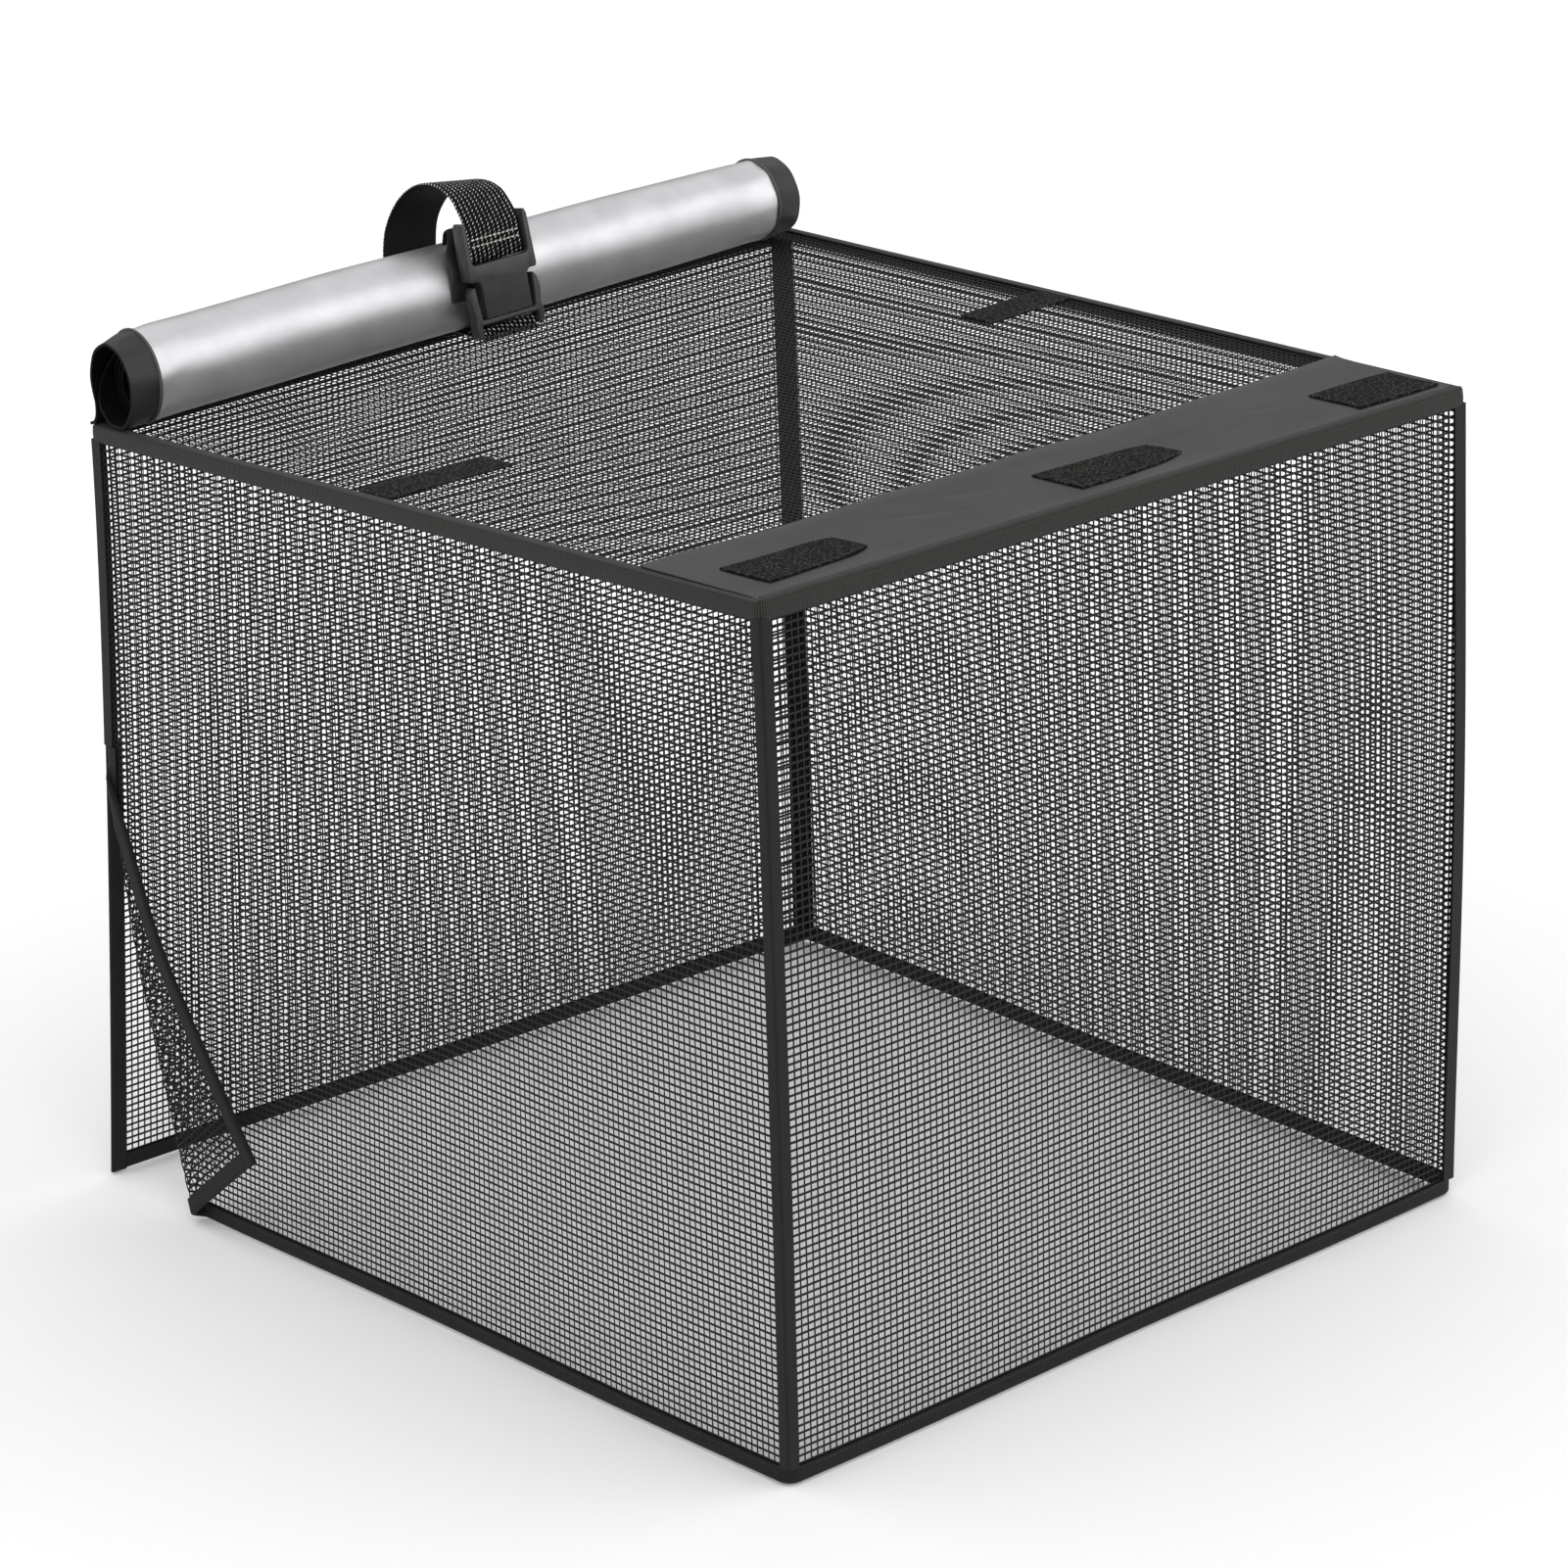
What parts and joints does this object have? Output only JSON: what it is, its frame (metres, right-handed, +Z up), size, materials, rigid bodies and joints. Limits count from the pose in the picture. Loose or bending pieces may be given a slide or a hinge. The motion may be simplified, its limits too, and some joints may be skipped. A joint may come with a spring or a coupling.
{
  "type": "air conditioner cover",
  "caption": "Box-shaped net cover for an outdoor air conditioning unit, with a silver weather flap rolled up on the top and held by a buckled webbing strap.",
  "frame": {"origin": "middle of the top net's middle surface, level with the rim at the front corner, where the unit's top bears", "axes": "+X along the two long walls from the slit corner to the front corner, +Y along the two short walls towards the back, +Z up"},
  "size_m": [0.7833, 0.7078, 0.7168],
  "materials": {
    "net": "black coated polyester net, matt",
    "binding": "black ribbed binding tape",
    "coated_cloth": "dark grey coated woven cloth, satin",
    "hook_and_loop": "black hook and loop tape",
    "silver_cloth": "silver coated woven cloth, satin",
    "webbing": "black woven webbing",
    "plastic": "moulded dark grey plastic, matt"
  },
  "bodies": {
    "root": {"net_top": "net", "net_front_left": "net", "net_front_right": "net", "net_back_right": "net", "net_back_left": "net", "rim_binding_front_left": "binding", "rim_binding_front_right": "binding", "rim_binding_back_right": "binding", "rim_binding_back_left": "binding", "hem_binding_front_left": "binding", "hem_binding_front_right": "binding", "hem_binding_back_right": "binding", "hem_binding_back_left": "binding", "corner_seam_front": "binding", "corner_tape_right": "binding", "corner_tape_back": "binding", "corner_tape_left": "binding", "slit_binding_turned": "binding", "slit_binding_rear": "binding", "front_strip": "coated_cloth", "strip_patch_left": "hook_and_loop", "strip_patch_middle": "hook_and_loop", "strip_patch_right": "hook_and_loop", "side_patch_left": "hook_and_loop", "side_patch_right": "hook_and_loop", "cover_roll": "silver_cloth", "roll_binding_left": "binding", "roll_binding_right": "binding", "strap_arc": "webbing", "strap_tail": "webbing", "strap_under": "webbing", "buckle_female": "plastic", "buckle_male": "plastic"}
  },
  "joints": []
}
